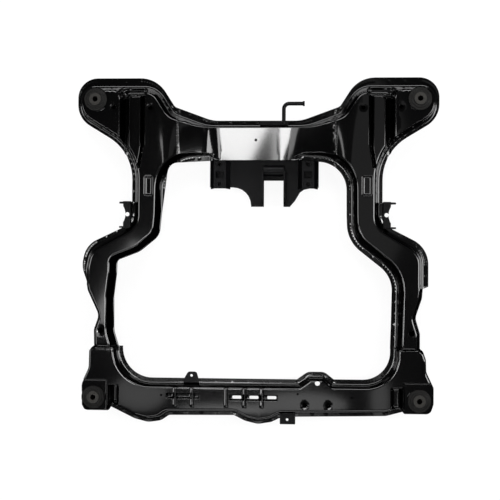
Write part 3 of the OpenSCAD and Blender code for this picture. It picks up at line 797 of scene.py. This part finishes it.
def noise(nodes, links, scale, detail):
    """Noise over the object's own coordinates, in features per metre."""
    coords = nodes.new("ShaderNodeTexCoord")
    n = nodes.new("ShaderNodeTexNoise")
    n.inputs["Scale"].default_value = scale
    n.inputs["Detail"].default_value = detail
    links.new(coords.outputs["Object"], n.inputs["Vector"])
    return n


# Most of a noise texture's values lie between these two
NOISE_LOW = 0.3
NOISE_HIGH = 0.7


def ranged(nodes, links, source, low, high):
    """Noise spread over the values from low to high."""
    r = nodes.new("ShaderNodeMapRange")
    r.inputs["From Min"].default_value = NOISE_LOW
    r.inputs["From Max"].default_value = NOISE_HIGH
    r.inputs["To Min"].default_value = low
    r.inputs["To Max"].default_value = high
    links.new(source, r.inputs["Value"])
    return r.outputs["Result"]


def bumped(nodes, links, b, source, strength, distance):
    bump = nodes.new("ShaderNodeBump")
    bump.inputs["Strength"].default_value = strength
    bump.inputs["Distance"].default_value = distance
    links.new(source, bump.inputs["Height"])
    links.new(bump.outputs["Normal"], b.inputs["Normal"])


def paint_material():
    m, nodes, links, b = principled("black_paint", (0.00012, 0.00012, 0.00016), 0.2)
    b.inputs["Specular IOR Level"].default_value = 0.03
    b.inputs["Coat Weight"].default_value = 1.0
    b.inputs["Coat Roughness"].default_value = 0.07
    patches = noise(nodes, links, 11, 3)
    links.new(ranged(nodes, links, patches.outputs["Fac"], 0.16, 0.26), b.inputs["Roughness"])
    peel = noise(nodes, links, 200, 2)
    bumped(nodes, links, b, peel.outputs["Fac"], 0.012, 0.0003)
    return m


def rings(nodes, links, count):
    """Rings about the middle of the object, seen along Z."""
    coords = nodes.new("ShaderNodeTexCoord")
    shift = nodes.new("ShaderNodeVectorMath")
    shift.operation = "SUBTRACT"
    shift.inputs[1].default_value = (0.5, 0.5, 0.5)
    flat = nodes.new("ShaderNodeVectorMath")
    flat.operation = "MULTIPLY"
    flat.inputs[1].default_value = (1, 1, 0)
    radius = nodes.new("ShaderNodeVectorMath")
    radius.operation = "LENGTH"
    turn = nodes.new("ShaderNodeMath")
    turn.operation = "MULTIPLY"
    turn.inputs[1].default_value = 4 * math.pi * count
    wave = nodes.new("ShaderNodeMath")
    wave.operation = "SINE"
    links.new(coords.outputs["Generated"], shift.inputs[0])
    links.new(shift.outputs["Vector"], flat.inputs[0])
    links.new(flat.outputs["Vector"], radius.inputs[0])
    links.new(radius.outputs["Value"], turn.inputs[0])
    links.new(turn.outputs["Value"], wave.inputs[0])
    return wave.outputs["Value"]


def rubber_material():
    m, nodes, links, b = principled("bush_rubber", (0.004, 0.0038, 0.0035), 0.6)
    b.inputs["Specular IOR Level"].default_value = 0.12
    grain = noise(nodes, links, 260, 5)
    links.new(ranged(nodes, links, grain.outputs["Fac"], 0.5, 0.7), b.inputs["Roughness"])
    bumped(nodes, links, b, rings(nodes, links, 4.5), 0.35, 0.0012)
    return m


def steel_material():
    m, nodes, links, b = principled("plated_steel", (0.02, 0.019, 0.017), 0.5, 0.7)
    streaks = noise(nodes, links, 180, 6)
    links.new(ranged(nodes, links, streaks.outputs["Fac"], 0.4, 0.65), b.inputs["Roughness"])
    bumped(nodes, links, b, streaks.outputs["Fac"], 0.1, 0.0003)
    return m


def bracket_material():
    m, nodes, links, b = principled("bracket_paint", (0.0015, 0.0015, 0.0018), 0.4)
    b.inputs["Specular IOR Level"].default_value = 0.09
    grain = noise(nodes, links, 160, 4)
    links.new(ranged(nodes, links, grain.outputs["Fac"], 0.3, 0.5), b.inputs["Roughness"])
    bumped(nodes, links, b, grain.outputs["Fac"], 0.06, 0.0004)
    return m


PAINT = paint_material()
BRACKET = bracket_material()
RUBBER = rubber_material()
STEEL = steel_material()
SLOT_MATERIAL = {"black_paint": PAINT, "bush_rubber": RUBBER, "bare_steel": STEEL}


def dress(obj, material, slot, *nodes):
    obj.data.materials.clear()
    obj.data.materials.append(material)
    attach(obj, "root")
    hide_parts(*nodes)


# Pressings

def pair(x, y, r):
    return [circle(-x, y, r), circle(x, y, r)]


# Holes
SMALL_HOLE_R = 2.8
SMALL_HOLES = ((110, -367), (247, -375), (-103, -366), (-240, -374))
TAB_HOLE_R = 3.4
SIDE_LOWER_HOLES = pair(*REAR_BUSH, COLLAR_R + COLLAR_FIT)
SIDE_HOLES = (SIDE_LOWER_HOLES + pair(371, 368, 5.0) + pair(273, 364, 5.5)
              + pair(398, -210, 7.5) + [circle(-2, 285, 3.5)])
FRONT_BUSH_HOLES = pair(*FRONT_BUSH, COLLAR_R + COLLAR_FIT)
FRONT_HOLES = (FRONT_BUSH_HOLES + [circle(128, -396, 6.5), circle(188, -396, 6.5), circle(160, -339, 6.5)]
               + [circle(x, y, SMALL_HOLE_R) for x, y in SMALL_HOLES]
               + [slot_loop(sx, SLOT_Y, SLOT_HALF, 2.5) for sx in SLOT_X])
FRONT_LOWER_HOLES = (FRONT_BUSH_HOLES + [circle(160, -346, 11.5)]
                     + [slot_loop(sx, SLOT_Y - 9, (17.5, 11), 8) for sx in SLOT_X])

# Tabs of the front crossmember: node, corners with their radii, and middle of the hole
TABS = (
    ("rear_tab",
     ((-187, -345, 0), (-147, -345, 0), (-147, -338, 6), (-153, -317, 8), (-175, -317, 8), (-187, -338, 6)),
     (-166, -327)),
    ("front_tab", ((64, -450, 2), (104, -450, 2), (104, -422, 0), (64, -422, 0)), (83, -438)),
)
for node, corners, hole in TABS:
    outline = Outline([(*corner, OPEN) for corner in corners])
    holes = [circle(*hole, TAB_HOLE_R)]
    tab = sheet_object(node + "_skin", outline, (-FAR, FAR), holes, None, tab_height, SHEET)
    dress(tab, BRACKET, "black_paint", node)

# Each side skin also covers the nodes that carry the pressing on along the waist and the rail
SHARED = {
    "left_side_upper": ("left_rail_upper",),
    "right_side_upper": ("right_rail_upper",),
    "left_side_lower": ("left_waist_lower", "left_rail_lower"),
    "right_side_lower": ("right_waist_lower", "right_rail_lower"),
}
SIDE_SPANS = (
    ("left_side", (-FAR, -SEAM_X)),
    ("right_side", (SEAM_X, FAR)),
    ("rear_panel", (-SEAM_X, SEAM_X)),
)
FRONT_SPANS = (
    ("front_cross", (CORNER_LEFT_X, CORNER_RIGHT_X)),
    ("left_corner", (-FAR, CORNER_LEFT_X)),
    ("right_corner", (CORNER_RIGHT_X, FAR)),
)


def pressing(node, outline, span, holes, shape, height, thickness):
    piece = sheet_object(node + "_skin", outline, span, holes, shape, height, thickness)
    dress(piece, PAINT, "black_paint", node, *SHARED.get(node, ()))


for part, span in SIDE_SPANS:
    pressing(part + "_upper", SIDE, span, SIDE_HOLES, side_bends, side_height, SHEET)
for part, span in SIDE_SPANS:
    pressing(part + "_lower", SIDE, span, SIDE_LOWER_HOLES, None, side_under, -SHEET)
for part, span in FRONT_SPANS:
    pressing(part + "_upper", FRONT, span, FRONT_HOLES, front_bends, front_height, SHEET)
for part, span in FRONT_SPANS:
    pressing(part + "_lower", FRONT, span, FRONT_LOWER_HOLES, None, front_under, -SHEET)

# The other solids keep their frame meshes, with rounded edges and finishes

BRACKET_NODES = (
    "roll_", "left_steering", "right_steering", "left_arm", "right_arm", "rear_tab", "front_tab", "hanger",
)
EDGE_WIDTH = 0.8
EDGE_ANGLE = 40.0
for entry in frame["record"]["subparts"]:
    node = entry["node"]
    obj = frame["nodes"][node]
    obj.data.materials.clear()
    plain = node.startswith(BRACKET_NODES)
    obj.data.materials.append(BRACKET if plain else SLOT_MATERIAL[entry["material_slot"]])
    bevel = obj.modifiers.new("edges", "BEVEL")
    bevel.width = EDGE_WIDTH * MM
    bevel.segments = 2
    bevel.limit_method = "ANGLE"
    bevel.angle_limit = math.radians(EDGE_ANGLE)

# Floor, light and camera

FLOOR_HALF = 6.0


def floor():
    """A floor that is white to the camera and dark to the paint's reflections."""
    signs = ((-1, -1), (1, -1), (1, 1), (-1, 1))
    mesh = bpy.data.meshes.new("floor")
    mesh.from_pydata([(sx * FLOOR_HALF, sy * FLOOR_HALF, 0) for sx, sy in signs], [], [(0, 1, 2, 3)])
    obj = bpy.data.objects.new("floor", mesh)
    bpy.context.scene.collection.objects.link(obj)
    m, nodes, links, b = principled("white_floor", (0.9, 0.9, 0.9), 0.9)
    b.inputs["Specular IOR Level"].default_value = 0.0
    glow = nodes.new("ShaderNodeEmission")
    seen = nodes.new("ShaderNodeMixShader")
    seen.inputs["Fac"].default_value = 0.9
    dim = nodes.new("ShaderNodeBsdfDiffuse")
    dim.inputs["Color"].default_value = (0.0015, 0.0015, 0.0015, 1)
    path = nodes.new("ShaderNodeLightPath")
    mix = nodes.new("ShaderNodeMixShader")
    links.new(b.outputs["BSDF"], seen.inputs[1])
    links.new(glow.outputs["Emission"], seen.inputs[2])
    links.new(path.outputs["Is Camera Ray"], mix.inputs["Fac"])
    links.new(dim.outputs["BSDF"], mix.inputs[1])
    links.new(seen.outputs["Shader"], mix.inputs[2])
    links.new(mix.outputs["Shader"], nodes["Material Output"].inputs["Surface"])
    mesh.materials.append(m)


def softbox(name, location, target, size, radiance):
    light = bpy.data.lights.new(name, "AREA")
    light.shape = "RECTANGLE"
    light.size, light.size_y = size
    light.energy = radiance * math.pi * size[0] * size[1]
    obj = bpy.data.objects.new(name, light)
    obj.location = location
    obj.rotation_euler = (Vector(target) - Vector(location)).to_track_quat("-Z", "Y").to_euler()
    bpy.context.scene.collection.objects.link(obj)


def overhead(name, centre, size, turn, radiance):
    """A lamp panel under the ceiling, facing straight down."""
    softbox(name, (*centre, CEILING), (*centre, 0), size, radiance)
    bpy.data.objects[name].rotation_euler = (0, 0, math.radians(turn))


HAZE_RINGS = 4


def haze(name, centre, size, radiance):
    """A glow under the ceiling that fades towards its rim."""
    for k in range(1, HAZE_RINGS + 1):
        ring = "%s_%d" % (name, k)
        overhead(ring, centre, [length * k / HAZE_RINGS for length in size], 0, radiance / HAZE_RINGS)
        bpy.data.objects[ring].data.shape = "ELLIPSE"


# Brightness of the room by the sine of the elevation: pale walls under a dark ceiling
ROOM = (
    (0.0, 0.05), (0.25, 0.14), (0.55, 0.15), (0.74, 0.08),
    (0.88, 0.03), (0.96, 0.04), (0.985, 0.06), (1.0, 0.08),
)


def world():
    w = bpy.data.worlds.new("studio")
    w.use_nodes = True
    nodes, links = w.node_tree.nodes, w.node_tree.links
    back = nodes["Background"]
    path = nodes.new("ShaderNodeLightPath")
    coords = nodes.new("ShaderNodeTexCoord")
    axes = nodes.new("ShaderNodeSeparateXYZ")
    room = nodes.new("ShaderNodeValToRGB")
    ramp = room.color_ramp
    while len(ramp.elements) < len(ROOM):
        ramp.elements.new(0.5)
    for element, (at, level) in zip(ramp.elements, ROOM):
        element.position = at
        element.color = (level, level, level * 1.03, 1)
    mix = nodes.new("ShaderNodeMix")
    mix.data_type = "RGBA"
    # Inputs 6 and 7 of a colour mix are its two colours, and output 2 is the mixed one
    dark, white = mix.inputs[6], mix.inputs[7]
    white.default_value = (1, 1, 1, 1)
    links.new(coords.outputs["Generated"], axes.inputs["Vector"])
    links.new(axes.outputs["Z"], room.inputs["Fac"])
    links.new(room.outputs["Color"], dark)
    links.new(path.outputs["Is Camera Ray"], mix.inputs["Factor"])
    links.new(mix.outputs[2], back.inputs["Color"])
    bpy.context.scene.world = w


CEILING = 3.0
CAMERA_DISTANCE = 2.5
CAMERA_SIDE_DEG = 3.0
CAMERA_FRONT_DEG = 1.0
CAMERA_ROLL_DEG = 0.38
AIM = Vector((-0.016, 0.0, 0.055))
VIEW_WIDTH = 1.3
SENSOR = 0.036


def camera():
    cam = bpy.data.cameras.new("camera")
    cam.sensor_width = SENSOR * 1000
    cam.lens = SENSOR * 1000 * CAMERA_DISTANCE / VIEW_WIDTH
    obj = bpy.data.objects.new("camera", cam)
    side = math.tan(math.radians(CAMERA_SIDE_DEG))
    front = math.tan(math.radians(CAMERA_FRONT_DEG))
    toward = Vector((side, -front, 1)).normalized()
    roll = math.radians(CAMERA_ROLL_DEG)
    up = Vector((-math.sin(roll), math.cos(roll), 0))
    right = up.cross(toward).normalized()
    up = toward.cross(right)
    obj.matrix_world = Matrix((
        (right.x, up.x, toward.x, AIM.x + toward.x * CAMERA_DISTANCE),
        (right.y, up.y, toward.y, AIM.y + toward.y * CAMERA_DISTANCE),
        (right.z, up.z, toward.z, AIM.z + toward.z * CAMERA_DISTANCE),
        (0, 0, 0, 1)))
    bpy.context.scene.collection.objects.link(obj)
    bpy.context.scene.camera = obj


floor()
overhead("panel_box", (-0.302, -0.221), (0.5, 0.55), -27, 22.0)
overhead("fade_box", (-0.79, -0.2), (0.34, 0.5), -27, 4.0)
overhead("panel_side_box", (0.13, -0.39), (0.36, 0.3), 0, 9.0)
overhead("flange_strip", (-0.33, -0.66), (1.0, 0.1), 0, 0.6)
overhead("bend_box", (-0.49, 0.58), (0.14, 0.24), 0, 4.0)
haze("arm_haze", (0.47, 0.45), (0.5, 1.2), 0.8)
haze("front_haze", (0.13, -0.81), (0.5, 0.14), 6.0)
haze("left_haze", (-0.78, -0.755), (0.3, 0.2), 4.0)
haze("band_haze", (-0.22, -0.84), (0.7, 0.05), 10.0)
haze("right_haze", (0.56, -0.78), (0.1, 0.3), 4.0)
softbox("rear_box", (0.0, 2.2, 1.9), (0, 0, 0), (2.6, 0.9), 9.0)
softbox("front_box", (0.0, -2.3, 1.2), (0, 0, 0), (2.4, 0.5), 6.0)
softbox("left_box", (-2.2, 0.3, 1.7), (0, 0, 0), (0.6, 1.6), 8.0)
softbox("rib_box", (-1.7, -0.5, 1.6), (0, -0.4, 0), (0.6, 0.7), 7.0)
softbox("right_box", (2.2, 0.2, 1.9), (0, 0, 0), (0.9, 2.6), 10.0)
world()
camera()
bpy.context.scene.view_settings.view_transform = "Standard"
